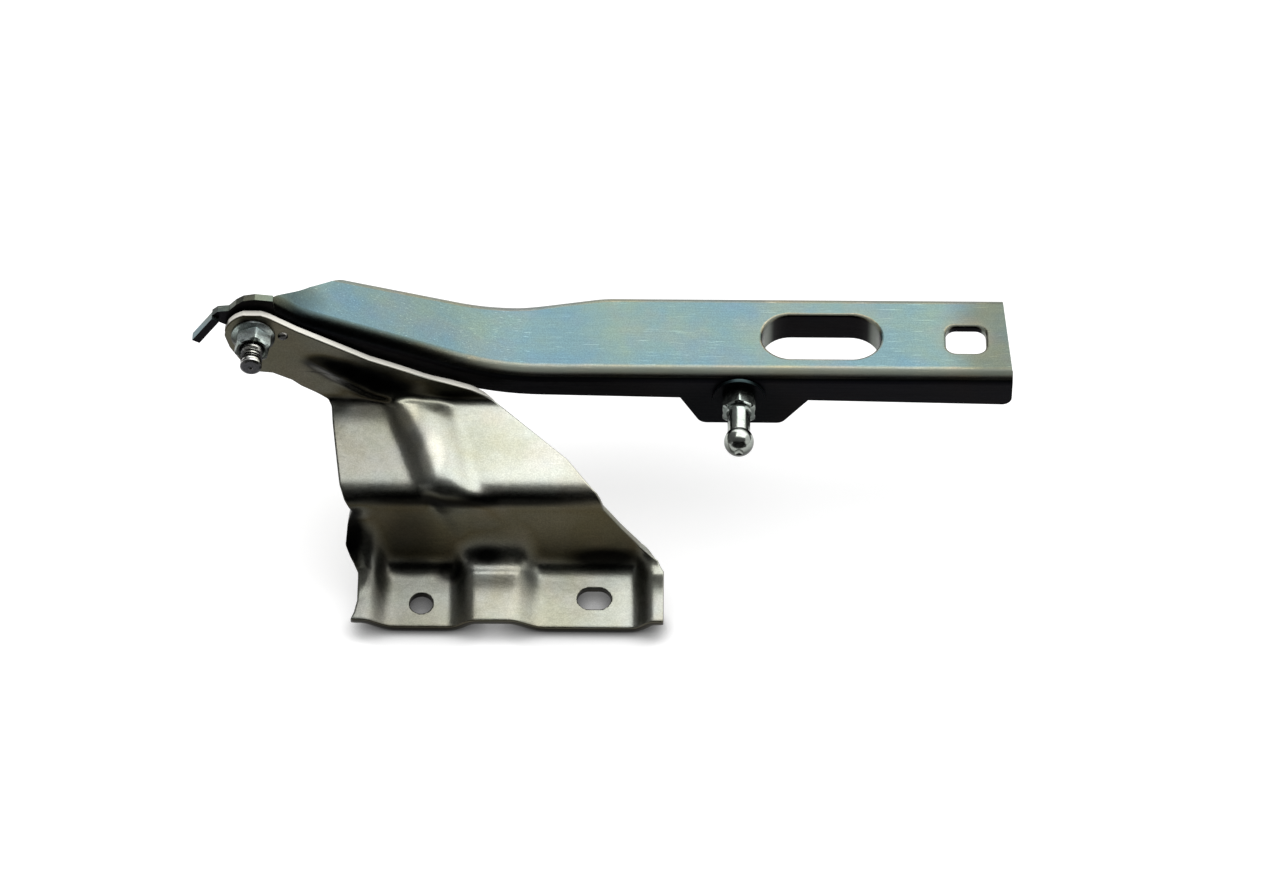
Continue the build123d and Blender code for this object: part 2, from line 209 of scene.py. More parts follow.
def makePlane(name, centre, size, direction):
    x, y = size[0] / 2, size[1] / 2
    turn = direction.to_track_quat("Z", "Y").to_matrix()
    corners = [Vector((-x, -y, 0)), Vector((x, -y, 0)), Vector((x, y, 0)), Vector((-x, y, 0))]
    mesh = bpy.data.meshes.new(name)
    mesh.from_pydata([centre + turn @ corner for corner in corners], [], [(0, 1, 2, 3)])
    plane = bpy.data.objects.new(name, mesh)
    bpy.context.scene.collection.objects.link(plane)
    return plane


def makeFloor(values):
    # pale floor, lifted for the camera and in mirrors, with painted shade close to the part
    lowest = cadBox[0][2] - values["floorGap"]
    floor = makePlane("floor", Vector((aim.x, aim.y, lowest)), values["floorSize"], axisZ)
    material = bpy.data.materials.new("paleFloor")
    material.use_nodes = True
    w = Wiring(material.node_tree)
    w.tree.nodes.clear()
    output, diffuse = w.add("OutputMaterial"), w.add("BsdfDiffuse")
    lift, both = w.add("Emission"), w.add("AddShader")
    path, nearby = w.add("LightPath"), w.add("AmbientOcclusion")
    # painted shade: ambient occlusion darkens the floor's colour and its lift close to the part
    nearby.inputs["Distance"].default_value = values["floorShadeReach"]
    clear = w.math("POWER", nearby.outputs["AO"], values["floorShadeSteep"])
    seen = w.math("MAXIMUM", path.outputs["Is Camera Ray"], path.outputs["Is Glossy Ray"])
    amount = w.math("MULTIPLY", seen, values["floorLift"])
    toned = w.add("VectorMath", operation="SCALE")
    toned.inputs[0].default_value = grey(values["floorTone"])
    w.join(w.math("MULTIPLY", clear, amount), lift.inputs["Strength"])
    w.join(clear, toned.inputs["Scale"])
    w.join(toned.outputs[0], diffuse.inputs["Color"])
    w.join(diffuse.outputs[0], both.inputs[0])
    w.join(lift.outputs[0], both.inputs[1])
    w.join(both.outputs[0], output.inputs["Surface"])
    floor.data.materials.append(material)


def makeCard(name, direction, distance, size, tone):
    # the camera looks through a card, and it casts no shadow
    direction = Vector(direction).normalized()
    card = makePlane(name, aim + direction * distance, size, -direction)
    card.visible_camera = False
    card.visible_shadow = False
    card.visible_diffuse = False
    material = bpy.data.materials.new(name)
    material.use_nodes = True
    shader = material.node_tree.nodes["Principled BSDF"]
    shader.inputs["Base Color"].default_value = (*grey(tone), 1)
    shader.inputs["Roughness"].default_value = 1.0
    shader.inputs["Specular IOR Level"].default_value = 0.0
    card.data.materials.append(material)


makeRoom(lightValues["roomDiffuse"])
makeLamp("backSoftbox", lightValues["back"])
makeFloor(lightValues)
for cardRow in lightValues["cards"]:
    makeCard(*cardRow)
print("room and lamps placed")


# Plated steel: painted light and shade as tints by how a face turns, either from down (0) to up (1) or from
# away from the front (0) to the front (1); a tint for its back; clouds, brushed grain, speckle and scratches
# over them
zincValues = {
    "bracketZinc": {
        "turn": "up",
        "litAndShadedTints": [(0.0, (0.24, 0.24, 0.20)), (0.44, (0.03, 0.028, 0.022)), (0.5, (0.12, 0.116, 0.09)),
                  (0.58, (0.062, 0.054, 0.032)), (0.75, (0.12, 0.12, 0.10)), (0.93, (0.42, 0.43, 0.375)),
                  (1.0, (0.43, 0.445, 0.395))],
        "backTint": (0.30, 0.29, 0.25), "cloud": (0.78, 0.75, 0.62), "cloudShare": 0.8, "cloudSize": 30,
        # painted shade along an axis: places in metres, share of the tone at each
        "heightShade": (0.004, 0.030, 0.82, 1.0), "lengthShade": (-0.015, 0.030, 0.72, 1.12),
        "hueShare": 0.14, "grain": (500, 700, 700), "grainDepth": 0.04, "speckle": 0.14, "scratch": 0.06,
        "rough": 0.33, "roughSpread": 0.08, "bump": 0.06,
        # painted shade and painted highlights in places: centre from the pivot and reach in mm, share, tone
        "shadeAndHighlightZones": [
            # painted highlight on the rib's crest
            ((55, -10, -30), (6, 15, 5.5), 0.5, (0.76, 0.77, 0.68)),
            ((65, -29, -34), (6, 16, 5.5), 0.5, (0.76, 0.77, 0.68)),
            # painted shade on the dart and in the fold under it
            ((24, 0, -12.5), (9, 8, 4.0), 0.85, grey(0.001)),
            ((31, 0, -15.5), (10, 8, 5.8), 0.95, grey(0.001)),
            ((38, 0, -19), (11, 8, 7.4), 0.97, grey(0.001)),
            ((45, 0, -22.5), (11, 8, 8.0), 0.97, grey(0.001)),
            ((52, 1, -26), (12, 6, 7.5), 0.97, grey(0.001)),
            ((34, 1, -32), (12, 6, 3.6), 0.9, grey(0.002)),
            # painted shade in the bend between shelf and wall
            ((58, -40, -44.5), (36, 4.2, 4.2), 0.9, grey(0.002)),
            ((96, -40, -44.5), (44, 4.2, 4.2), 0.9, grey(0.002)),
            # painted shade in the fold between plate and shelf
            ((50, 2, -30), (20, 4.8, 6.0), 0.97, grey(0.001)),
            ((62, 2, -30.5), (44, 4.4, 5.0), 0.97, grey(0.001)),
            # painted shade on the wall and its foot
            ((57, -44, -60), (14, 8, 20), 0.5, grey(0.003)),
            ((35.2, -42, -60), (7.5, 11, 17), 0.97, grey(0.002)),
            ((128, -44, -71), (20, 7, 7.0), 0.95, grey(0.002)),
            ((85, -44, -70), (9.5, 6, 8.0), 0.93, grey(0.003)),
            ((72, -46, -76), (9, 6, 7), 0.9, grey(0.003)),
            ((58, -45, -75), (12, 5, 5), 0.7, grey(0.006)),
        ],
        # sheared upper edge of the plate, behind this place along Y: dull, and pale where it faces up as
        # painted light
        "shearedLitEdge": {"reach": (0.0589, 0.0592), "turn": (0.4, 0.6), "tint": (0.92, 0.90, 0.82),
                    "metalLoss": 0.8, "roughGain": 0.3},
    },
    "armZinc": {
        "turn": "front",
        "litAndShadedTints": [(0.0, (0.12, 0.14, 0.14)), (0.30, (0.16, 0.19, 0.17)), (0.44, (0.20, 0.24, 0.22)),
                  (0.49, (0.130, 0.215, 0.235)), (0.54, (0.130, 0.215, 0.235)), (0.60, (0.27, 0.30, 0.25)),
                  (0.74, (0.30, 0.31, 0.24)), (0.87, (0.16, 0.165, 0.14)), (0.96, (0.0025, 0.003, 0.0035))],
        # painted light and shade beside the pivot, and where they give way to the others
        "nearLitAndShadedTints": [(0.0, (0.12, 0.14, 0.14)), (0.44, (0.20, 0.24, 0.22)), (0.49, (0.115, 0.19, 0.215)),
                      (0.52, (0.115, 0.19, 0.215)), (0.56, (0.07, 0.105, 0.105)),
                      (0.66, (0.032, 0.042, 0.038)), (0.80, (0.012, 0.014, 0.013)),
                      (0.96, (0.005, 0.006, 0.007))],
        "nearReach": (-0.010, 0.045),
        # painted shade on faces that stand upright, as inside the collar
        "standing": (0.35, 0.12), "standingShadeTint": (0.003, 0.003, 0.004),
        # painted sheen along the front bend, in a band that is also less metallic: turns where it starts and
        # is full, fades and ends
        "bendSheen": {"rise": (0.60, 0.70), "fall": (0.92, 0.80), "reach": (0.005, 0.035), "share": 0.7,
                 "tint": (0.19, 0.22, 0.18), "metalLoss": 0.75},
        "shadeAndHighlightZones": [
            # painted shade on the ear and the web's left end
            ((-4, 5.5, 8), (22, 9, 16), 0.9, (0.115, 0.145, 0.13)),
            ((14, 14, 6), (17, 12, 12), 0.45, (0.03, 0.05, 0.055)),
            # painted shade on the lug, a darker right end, and painted highlights on the rims of both
            # openings
            ((177, 2, -31), (13, 5, 12), 0.97, (0.0006, 0.0009, 0.0014)),
            ((272, 24, -22), (22, 36, 12), 0.85, (0.105, 0.125, 0.102)),
            ((174, 3, -40), (32, 8, 17), 0.95, (0.0006, 0.0009, 0.0014)),
            ((260, 23, -22), (14, 13, 5), 0.35, (0.21, 0.21, 0.155)),
            ((207, 23.5, -22), (29, 17, 4), 0.18, (0.25, 0.25, 0.20)),
        ],
        "backTint": (0.13, 0.16, 0.17), "cloud": (1.30, 1.10, 0.84), "cloudShare": 1.0, "cloudSize": 26,
        "hueShare": 0.32, "grain": (40, 1200, 1200), "grainDepth": 0.10, "speckle": 0.14, "scratch": 0.27,
        "rough": 0.36, "roughSpread": 0.10, "bump": 0.08,
    },
    "boltZinc": {
        "turn": "up",
        "litAndShadedTints": [(0.0, (0.03, 0.03, 0.032)), (0.5, (0.045, 0.045, 0.048)), (0.7, (0.06, 0.06, 0.06)),
                  (0.85, (0.75, 0.75, 0.70)), (1.0, (0.9, 0.9, 0.85))],
        "backTint": (0.45, 0.45, 0.40), "cloud": (0.70, 0.70, 0.62), "cloudShare": 0.8, "cloudSize": 120,
        "hueShare": 0.16, "grain": (400, 400, 400), "grainDepth": 0.05, "speckle": 0.2, "scratch": 0.1,
        "rough": 0.26, "roughSpread": 0.10, "bump": 0.08,
    },
    "nutZinc": {
        "turn": "up",
        "litAndShadedTints": [(0.0, (0.03, 0.032, 0.03)), (0.5, (0.035, 0.038, 0.035)), (0.8, (0.70, 0.80, 0.75)),
                  (1.0, (0.85, 0.93, 0.89))],
        "backTint": (0.30, 0.32, 0.29), "cloud": (0.70, 0.72, 0.66), "cloudShare": 0.8, "cloudSize": 150,
        "hueShare": 0.16, "grain": (500, 500, 500), "grainDepth": 0.08, "speckle": 0.25, "scratch": 0.15,
        "rough": 0.34, "roughSpread": 0.12, "bump": 0.12,
    },
    "studZinc": {
        "turn": "up",
        "litAndShadedTints": [(0.0, (0.05, 0.055, 0.05)), (0.45, (0.08, 0.09, 0.08)), (0.62, (0.30, 0.33, 0.30)),
                  (1.0, (0.50, 0.55, 0.50))],
        "backTint": (0.55, 0.57, 0.57), "cloud": (0.75, 0.76, 0.76), "cloudShare": 0.8, "cloudSize": 160,
        "hueShare": 0.12, "grain": (600, 200, 600), "grainDepth": 0.04, "speckle": 0.1, "scratch": 0.1,
        "rough": 0.18, "roughSpread": 0.08, "bump": 0.05,
    },
}
# Shared by all finishes: a noise as size per metre, detail and roughness; a span as its start and full end
markValues = {
    # which way a back turns; where a zone fades, and the faces that zones and pale zones stay off
    "backTurn": {"up": ("Y", 0.1, 0.5), "front": ("Z", -0.1, -0.5)},
    "zoneEdge": (1.0, 0.4), "offBack": (0.5, 0.1), "paleTone": 0.02, "offFront": (-0.75, -0.6),
    "cloudNoise": (4, 0.6), "cloudSpan": (0.35, 0.68),
    # offset of the noise, tint
    "hues": [(3.0, (0.80, 0.95, 1.20)), (7.0, (1.18, 0.93, 0.98))],
    "hueNoise": (60, 2, 0.5), "hueSpan": (0.45, 0.62),
    "grainNoise": (1.0, 2, 0.6), "grainSpan": (0.2, 0.8), "roughSpan": (0.25, 0.75),
    "speckleNoise": (1900, 2, 0.7), "speckleSpan": (0.40, 0.62), "speckleGain": 0.4,
    "scratchNoise": (1.0, 1, 0.4), "scratchStretch": (90, 2600, 2600), "scratchSpan": (0.69, 0.74),
    "scratchTint": (4.0, 3.6, 3.2),
    "bumpNoise": (900, 3, 0.6), "bumpDepth": 0.0004,
}


def zoneShare(w, place, centre, reach):
    # 1 at the middle of an ellipsoid, fading to 0 at its surface
    shifted = w.add("VectorMath", operation="SUBTRACT")
    shifted.inputs[1].default_value = fromPivot(*centre)
    w.join(place, shifted.inputs[0])
    scaled = w.add("VectorMath", operation="DIVIDE")
    scaled.inputs[1].default_value = [size * millimetre for size in reach]
    w.join(shifted.outputs[0], scaled.inputs[0])
    far = w.add("VectorMath", operation="LENGTH")
    w.join(scaled.outputs[0], far.inputs[0])
    return w.ramp(far.outputs["Value"], *markValues["zoneEdge"])


def paintedTurnTint(w, values, facing, spot):
    # painted light and shade: the tint that a face gets from the way it turns
    backAxis, backFrom, backTo = markValues["backTurn"][values["turn"]]
    back = w.ramp(facing[backAxis], backFrom, backTo)
    if values["turn"] == "up":
        litAndShadedTints = w.tintTable(w.ramp(facing["Z"], -1.0, 1.0, straight=True), values["litAndShadedTints"])
        return w.mix(back, litAndShadedTints, values["backTint"])
    turn = w.ramp(facing["Y"], 1.0, -1.0, straight=True)
    litAndShadedTints = w.mix(w.ramp(spot["X"], *values["nearReach"]), w.tintTable(turn, values["nearLitAndShadedTints"]),
                  w.tintTable(turn, values["litAndShadedTints"]))
    colour = w.mix(back, litAndShadedTints, values["backTint"])
    # painted shade on upright faces, such as the inside of the collar
    standing = w.ramp(w.math("ABSOLUTE", facing["Z"], 0), *values["standing"])
    standing = w.math("MULTIPLY", standing, w.ramp(facing["Y"], *markValues["offBack"]))
    return w.mix(standing, colour, values["standingShadeTint"])


def withPaintedZones(w, values, colour, place, facing):
    # painted shade and highlight zones stay off the sheet's back, and pale ones off the faces that look to
    # the front
    for centre, reach, depth, tone in values.get("shadeAndHighlightZones", ()):
        offBack = w.ramp(facing["Y"], *markValues["offBack"], 0.0, depth)
        share = w.math("MULTIPLY", zoneShare(w, place, centre, reach), offBack)
        if max(tone) > markValues["paleTone"]:
            share = w.math("MULTIPLY", share, w.ramp(facing["Y"], *markValues["offFront"]))
        colour = w.mix(share, colour, tone)
    return colour


def withMarks(w, values, colour, place, grain):
    # clouds, faint hues, brushed grain with speckle, and scratches
    marks = markValues
    clouds = w.noise(place, values["cloudSize"], *marks["cloudNoise"])
    clouds = w.ramp(clouds, *marks["cloudSpan"], 0.0, values["cloudShare"])
    colour = w.mix(clouds, colour, w.mix(1.0, colour, values["cloud"], "MULTIPLY"))
    for offset, hue in marks["hues"]:
        shifted = w.add("Mapping")
        shifted.inputs["Location"].default_value = (offset,) * 3
        w.join(place, shifted.inputs["Vector"])
        noise = w.noise(shifted.outputs[0], *marks["hueNoise"])
        share = w.ramp(noise, *marks["hueSpan"], 0.0, values["hueShare"])
        colour = w.mix(share, colour, w.mix(1.0, colour, hue, "MULTIPLY"))
    shade = w.ramp(grain, *marks["grainSpan"], 1 - values["grainDepth"], 1 + values["grainDepth"])
    speckle = w.ramp(w.noise(place, *marks["speckleNoise"]), *marks["speckleSpan"],
                     1 - values["speckle"], 1 + values["speckle"] * marks["speckleGain"])
    colour = w.mix(1.0, colour, w.math("MULTIPLY", shade, speckle), "MULTIPLY")
    scratches = w.noise(place, *marks["scratchNoise"], marks["scratchStretch"])
    scratches = w.ramp(scratches, *marks["scratchSpan"])
    scratches = w.math("MULTIPLY", scratches, values["scratch"])
    return w.mix(scratches, colour, w.mix(1.0, colour, marks["scratchTint"], "MULTIPLY"))


def zincMaterial(name, values):
    material = bpy.data.materials.new(name)
    material.use_nodes = True
    w = Wiring(material.node_tree)
    shader = w.tree.nodes["Principled BSDF"]
    coordinates, facingParts, spotParts = w.add("TexCoord"), w.add("SeparateXYZ"), w.add("SeparateXYZ")
    place = coordinates.outputs["Object"]
    w.join(coordinates.outputs["Normal"], facingParts.inputs[0])
    w.join(place, spotParts.inputs[0])
    facing, spot = facingParts.outputs, spotParts.outputs
    grain = w.noise(place, *markValues["grainNoise"], values["grain"])
    colour = paintedTurnTint(w, values, facing, spot)
    # painted shade along height and length, where a finish has it
    for axis, shade in (("Z", "heightShade"), ("X", "lengthShade")):
        if shade in values:
            colour = w.mix(1.0, colour, w.ramp(spot[axis], *values[shade]), "MULTIPLY")
    colour = withMarks(w, values, withPaintedZones(w, values, colour, place, facing), place, grain)
    middle, spread = values["rough"], values["roughSpread"] / 2
    rough = w.ramp(grain, *markValues["roughSpan"], middle - spread, middle + spread)
    shader.inputs["Metallic"].default_value = 1.0
    # painted sheen in a less metallic band along the front bend
    if "bendSheen" in values:
        bendSheen = values["bendSheen"]
        turn = w.ramp(facing["Y"], 1.0, -1.0, straight=True)
        band = w.math("MULTIPLY", w.ramp(turn, *bendSheen["rise"]), w.ramp(turn, *bendSheen["fall"]))
        band = w.math("MULTIPLY", band, w.ramp(spot["X"], *bendSheen["reach"]))
        colour = w.mix(w.math("MULTIPLY", band, bendSheen["share"]), colour, bendSheen["tint"])
        metal = w.math("SUBTRACT", 1.0, w.math("MULTIPLY", band, bendSheen["metalLoss"]))
        w.join(metal, shader.inputs["Metallic"])
    # the sheared edge is dull, and painted light makes its upward faces pale
    if "shearedLitEdge" in values:
        cut = values["shearedLitEdge"]
        edge = w.math("MULTIPLY", w.ramp(spot["Y"], *cut["reach"]), w.ramp(facing["Z"], *cut["turn"]))
        colour = w.mix(edge, colour, cut["tint"])
        metal = w.math("SUBTRACT", 1.0, w.math("MULTIPLY", edge, cut["metalLoss"]))
        w.join(metal, shader.inputs["Metallic"])
        rough = w.math("ADD", rough, w.math("MULTIPLY", edge, cut["roughGain"]))
    w.join(colour, shader.inputs["Base Color"])
    w.join(rough, shader.inputs["Roughness"])
    bump = w.add("Bump")
    bump.inputs["Strength"].default_value = values["bump"]
    bump.inputs["Distance"].default_value = markValues["bumpDepth"]
    w.join(w.math("ADD", grain, w.noise(place, *markValues["bumpNoise"])), bump.inputs["Height"])
    w.join(bump.outputs[0], shader.inputs["Normal"])
    return material


zinc = {name: zincMaterial(name, values) for name, values in zincValues.items()}
finishes = {
    "body_bracket": "bracketZinc", "hinge_arm": "armZinc", "pivot_bolt": "boltZinc",
    "pivot_washer": "nutZinc", "pivot_nut": "nutZinc", "plate_rivet": "nutZinc",
    # the stud's washer takes the arm's finish, whose painted shade makes it near black
    "ball_stud": "studZinc", "ball_stud_washer": "armZinc",
}
for node, finish in finishes.items():
    nodes[node].data.materials.clear()
    nodes[node].data.materials.append(zinc[finish])
print("finishes given")


# Pressed bracket, drawn as one sheet: rows follow its bent side view, columns its width
bracketValues = {
    "sheet": 3.0, "rowStep": 0.6, "columns": 190, "latticeStep": 0.5, "latticeAcross": (-14, 154),
    "sideView": [(0.0, 12.5), (0.0, -33.0), (-38.8, -41.2), (-43.7, -76.1)], "lineStep": 0.1,
    "footDepth": 25.2, "footTilt": 12.0,
    # bends along the side view; wider ones as distance down the sheet, reach, softness
    "bendSoftness": 2.3, "shelfBend": (39.7, 9.0, 4.4), "footBend": (74.9, 9.0, 3.4),
    "reliefTurn": 7.5, "pressSoftness": 1.5,
    # the eye round the pivot: its centre and where its circle takes over each edge
    "eye": 10.5, "eyeTop": 10.3, "eyeCentre": -33.0, "eyeLeftFrom": -35.0, "eyeRightFrom": -41.8,
    # width limits as (distance down the sheet from the fold, place along the arm)
    "leftEdge": [(-42.8, -2.1), (-39, -8.6), (-33, -10.5), (-27, -8.9), (-17.5, -3.8), (-14.6, 1.0),
                 (-14.4, 5.4), (-10.4, 13.0), (-7.4, 16.2), (-3.6, 22.0), (-0.6, 26.0), (2.5, 27.3),
                 (10, 28.0), (36, 31.4), (43, 33.1), (49, 35.7), (56, 34.0), (63.5, 33.2), (71, 36.0),
                 (78, 37.6), (92, 37.9), (97, 36.8), (100.1, 35.5)],
    "rightEdge": [(-42.8, 2.1), (-41.8, 6.0), (-35.1, 16.0), (-20.1, 42.0), (-11.6, 62.0), (-5.0, 79.0),
                  (0, 87.0), (4, 91.5), (25.1, 114.5), (39.7, 125.2), (43, 126.4), (47, 127.6),
                  (56, 134.2), (64.5, 141.2), (69.2, 147.8), (75, 149.9), (100.1, 149.9)],
    # rib from the fold to the wall's foot: distance down, left foot, crest, crest, right foot
    "rib": [(-4, 40.5, 50.0, 52.0, 67.0), (1, 43.5, 53.0, 55.5, 69.5), (6.5, 47.5, 57.0, 59.0, 73.0),
            (19, 53.3, 62.8, 65.0, 77.0), (36, 59.3, 68.3, 71.0, 80.0), (45, 64.0, 71.0, 74.0, 90.0),
            (62, 75.0, 80.5, 84.0, 104.0), (76, 80.0, 85.0, 94.0, 104.0)],
    "ribHeight": [(-6, 0.0), (-4.2, 0.8), (-2, 3.6), (0, 5.4), (4, 4.8), (10, 4.4), (36, 4.2), (43, 2.6),
                  (48, 1.2), (56, 0.6), (66, 0.3), (76, 0.1)],
    # dart on the plate: distance down and place of its crest, height, run above and below it
    "dart": [(-21.6, 17.5, 0.2, 2.5, 1.5), (-18.0, 25.0, 2.2, 5.0, 4.0), (-11.3, 36.0, 4.2, 7.5, 7.0),
             (-5.0, 44.0, 4.8, 9.5, 8.0), (0.0, 54.0, 4.2, 10.0, 8.0), (3.0, 66.0, 0.8, 8.0, 5.0)],
    # where the dart has run out, and the run before it
    "dartEnd": (72.0, 8.0),
    # filling of the fold: height, reach, place it starts and ends, run
    "foldFill": (2.6, 5.5, 26.0, 70.0, 10.0),
    # foot across its width: place along the arm, height over the pads
    "footAcross": [(30, 5.0), (41.5, 5.0), (49.5, 0), (73.2, 0), (79.0, 5), (95.5, 5.0), (104.5, 0),
                   (140.2, 0), (144.4, 5), (152, 5)],
    # how far each ridge runs up the wall; the left one leans to a point above
    "ridgeRise": [(56, 0.0), (62, 0.03), (66, 0.12), (70, 0.38), (74, 0.74), (78, 0.94), (83, 1.0),
                  (100, 1.0)],
    "leftRise": [(40, 0.0), (48, 0.25), (60, 0.62), (70, 0.92), (78, 1.0), (100, 1.0)],
    "leftLean": [(44, -8.0), (60, -3.0), (74, 0.0)], "leftUntil": 60,
    # filling of the wall's foot: place it starts, run, place it ends, run, height, reach; the first row
    # leans with the left ridge
    "cornerFill": [(-100, 1, 48, 5, 4.6, 8.5), (72, 6, 104, 7, 3.0, 6.5), (139, 5, 300, 1, 3.4, 6.0)],
    # the wall falls back towards its left edge: place it starts from, run, depth, rows it covers
    "leftFall": (44.0, 7.0, 4.0, (46, 54, 80, 90)),
    # rim: its rounding, shares of it at the ring between face and rim, softness round the outline
    "rimRound": 0.4, "rimCorner": (0.7, 0.3), "rimSoftness": 1.5, "normalPasses": 3,
    # body holes: name, size, place along the arm and outward from the wall's foot; the mouths flare
    "holeFlare": 0.5,
    "holes": [("roundHole", (8.6, 8.6), (61.1, 15.3)), ("slotHole", (12.5, 9.0), (124.4, 12.8))],
    "boltHole": {"size": 8.3, "reach": 2.5, "flare": 0.3},
}


def curveThrough(points, at):
    # a table of (distance, value) read at every row
    table = np.array(points, float)
    return np.stack([np.interp(at, table[:, 0], table[:, k]) for k in range(1, table.shape[1])])


def softened(values, sigma, axis, step):
    # a blur along one axis that keeps the ends in place
    reach = int(4 * sigma / step) + 1
    weights = np.exp(-0.5 * (np.arange(-reach, reach + 1) * step / sigma) ** 2)
    weights /= weights.sum()
    lined = np.moveaxis(values, axis, 0)
    first = 2 * lined[:1] - lined[1:reach + 1][::-1]
    last = 2 * lined[-1:] - lined[-reach - 1:-1][::-1]
    padded = np.concatenate([first, lined, last])
    result = sum(weights[k] * padded[k:k + len(lined)] for k in range(2 * reach + 1))
    return np.moveaxis(result, 0, axis)


def smoothStep(value):
    value = np.clip(value, 0, 1)
    return value * value * (3 - 2 * value)


def sideLine(values):
    # bent side view as evenly spaced points, distance 0 at the fold
    corners = [np.array(p, float) for p in values["sideView"]]
    tilt = radians(values["footTilt"])
    corners.append(corners[-1] + np.array((-cos(tilt), -sin(tilt))) * values["footDepth"])
    corners = np.array(corners)
    lengths = np.concatenate([[0], np.cumsum(np.linalg.norm(np.diff(corners, axis=0), axis=1))])
    step = values["lineStep"]
    distance = np.arange(0, lengths[-1] + step / 2, step)
    line = np.stack([np.interp(distance, lengths, corners[:, k]) for k in (0, 1)], axis=1)
    plain = line
    line = softened(plain, values["bendSoftness"], 0, step)
    for at, reach, soft in (values["shelfBend"], values["footBend"]):
        wider = np.exp(-((distance - lengths[1] - at) / reach) ** 4)[:, None]
        line = line * (1 - wider) + softened(plain, soft, 0, step) * wider
    along = np.gradient(line, axis=0)
    along /= np.linalg.norm(along, axis=1)[:, None]
    outward = np.stack([along[:, 1], -along[:, 0]], axis=1)
    wide = softened(outward, values["reliefTurn"], 0, step)
    wide /= np.linalg.norm(wide, axis=1)[:, None]
    return distance - lengths[1], line, wide


def relief(values, down, across):
    # height of the pressed forms over the bent strip
    rows, place = down[:, 0], across[0]
    left, crestLeft, crestRight, right = curveThrough(values["rib"], rows)[:, :, None]
    ribTall, ridge, leftRidge, lean = (curveThrough(values[key], rows)[0][:, None]
                                       for key in ("ribHeight", "ridgeRise", "leftRise", "leftLean"))
    rise = np.sin(np.clip((across - left) / (crestLeft - left), 0, 1) * pi / 2)
    drop = np.sin(np.clip((right - across) / (right - crestRight), 0, 1) * pi / 2)
    rib = ribTall * rise * drop

    table = np.array(values["dart"], float)
    crest, tall, above, below = (np.interp(place, table[:, 1], table[:, k]) for k in (0, 2, 3, 4))
    dartLast, dartRun = values["dartEnd"]
    tall = np.where(place < table[0, 1], 0, tall) * smoothStep((dartLast - place) / dartRun)
    over = np.clip(1 - (crest - down) / above, 0, 1)
    under = smoothStep(1 - (down - crest) / below)
    dart = tall * np.where(down < crest, over, under)

    leaning = across - lean
    footTable = np.array(values["footAcross"], float).T
    forms = np.where(place < values["leftUntil"], np.interp(leaning, *footTable) * leftRidge,
                     np.interp(place, *footTable) * ridge)
    corner = values["footBend"][0]
    fill = 0
    for at, row in zip((leaning, across, across), values["cornerFill"]):
        start, startRun, end, endRun, tallest, reach = row
        share = smoothStep((at - start) / startRun) * smoothStep((end - at) / endRun)
        fill = fill + share * tallest * np.exp(-0.5 * ((down - corner) / reach) ** 2)
    tallest, reach, start, end, run = values["foldFill"]
    share = smoothStep((across - start) / run) * smoothStep((end - across) / run)
    fold = share * tallest * np.exp(-0.5 * (down / reach) ** 2)
    fallFrom, fallRun, fallDepth, fallRows = values["leftFall"]
    covered = np.interp(down, fallRows, (0, 1, 1, 0))
    fall = fallDepth * covered * smoothStep((fallFrom - across) / fallRun)
    return np.maximum(np.maximum(rib, dart), fold) + forms + fill - fall


def readGrid(grid, rowAt, columnAt):
    # the grid's height between its points
    row, column = rowAt.astype(int), columnAt.astype(int)
    down, aside = rowAt - row, columnAt - column
    near = grid[row, column] * (1 - down) * (1 - aside) + grid[row + 1, column] * down * (1 - aside)
    return near + grid[row, column + 1] * (1 - down) * aside + grid[row + 1, column + 1] * down * aside


def bracketSheet(values):
    # outer face of the sheet as a grid of points
    distance, line, outward = sideLine(values)
    step = values["latticeStep"]
    downLine = np.arange(distance[0], distance[-1] + step, step)
    acrossLine = np.arange(*values["latticeAcross"], step)
    lattice = relief(values, np.repeat(downLine[:, None], len(acrossLine), 1),
                     np.repeat(acrossLine[None, :], len(downLine), 0))
    lattice = softened(softened(lattice, values["pressSoftness"], 0, step), values["pressSoftness"], 1, step)

    inset = values["rimRound"]
    eyeCentre = values["eyeCentre"]
    rows = np.arange(eyeCentre - values["eyeTop"] + inset, distance[-1] - inset, values["rowStep"])
    rows[-1] = distance[-1] - inset
    circle = np.sqrt(np.clip(values["eye"] ** 2 - (rows - eyeCentre) ** 2, 0, None))
    leftEdge, rightEdge = (curveThrough(values[key], rows)[0] for key in ("leftEdge", "rightEdge"))
    leftEdge = np.where(rows < values["eyeLeftFrom"], -circle, leftEdge) + inset
    rightEdge = np.where(rows < values["eyeRightFrom"], circle, rightEdge) - inset
    share = np.linspace(0, 1, values["columns"] + 1)
    across = leftEdge[:, None] + (rightEdge - leftEdge)[:, None] * share
    rowAt = np.clip((rows[:, None] - downLine[0]) / step, 0, len(downLine) - 1.001) + 0 * across
    columnAt = np.clip((across - acrossLine[0]) / step, 0, len(acrossLine) - 1.001)
    height = readGrid(lattice, rowAt, columnAt)
    front = np.empty(across.shape + (3,))
    front[..., 0] = across
    for k in (0, 1):
        base, turn = np.interp(rows, distance, line[:, k]), np.interp(rows, distance, outward[:, k])
        front[..., k + 1] = base[:, None] + turn[:, None] * height
    return front


def gridNormals(points):
    downward = np.gradient(points, axis=0)
    sideways = np.gradient(points, axis=1)
    normal = np.cross(downward, sideways)
    return normal / np.maximum(np.linalg.norm(normal, axis=2), 1e-9)[..., None]


def ringOf(grid):
    return np.concatenate([grid[0, :-1], grid[:-1, -1], grid[-1, :0:-1], grid[:0:-1, 0]])


